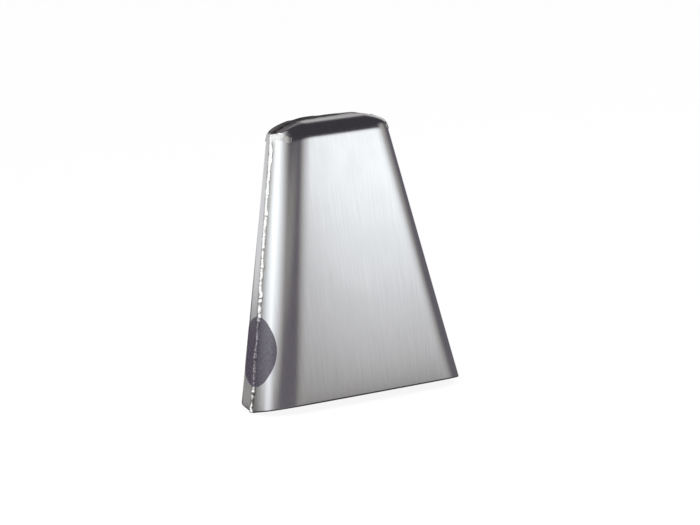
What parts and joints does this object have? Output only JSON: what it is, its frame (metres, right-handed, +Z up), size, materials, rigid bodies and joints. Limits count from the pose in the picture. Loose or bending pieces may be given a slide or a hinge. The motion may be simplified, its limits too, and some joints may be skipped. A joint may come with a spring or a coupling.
{
  "type": "hand cowbell",
  "caption": "Hand cowbell: tapered brushed sheet-steel bell of two pressed half shells welded along the sides and over the crown, open at the mouth, with a round film label on one seam.",
  "frame": {"origin": "middle of the mouth, level with the tips of the two side seams, which are the lowest points", "axes": "+Z up towards the head, along the bell's length; -Y is the front panel's side; -X is the side with the label"},
  "size_m": [0.1602, 0.0706, 0.2013],
  "materials": {
    "brushed_steel": "brushed lengthwise, satin",
    "weld_steel": "as welded, lightly brushed",
    "smoke_film": "smooth film, semi-gloss"
  },
  "bodies": {
    "root": {"front_shell": "brushed_steel", "back_shell": "brushed_steel", "left_seam_weld": "weld_steel", "right_seam_weld": "weld_steel", "crown_weld": "weld_steel", "front_left_corner_weld": "weld_steel", "front_right_corner_weld": "weld_steel", "back_left_corner_weld": "weld_steel", "back_right_corner_weld": "weld_steel", "side_label": "smoke_film"}
  },
  "joints": []
}
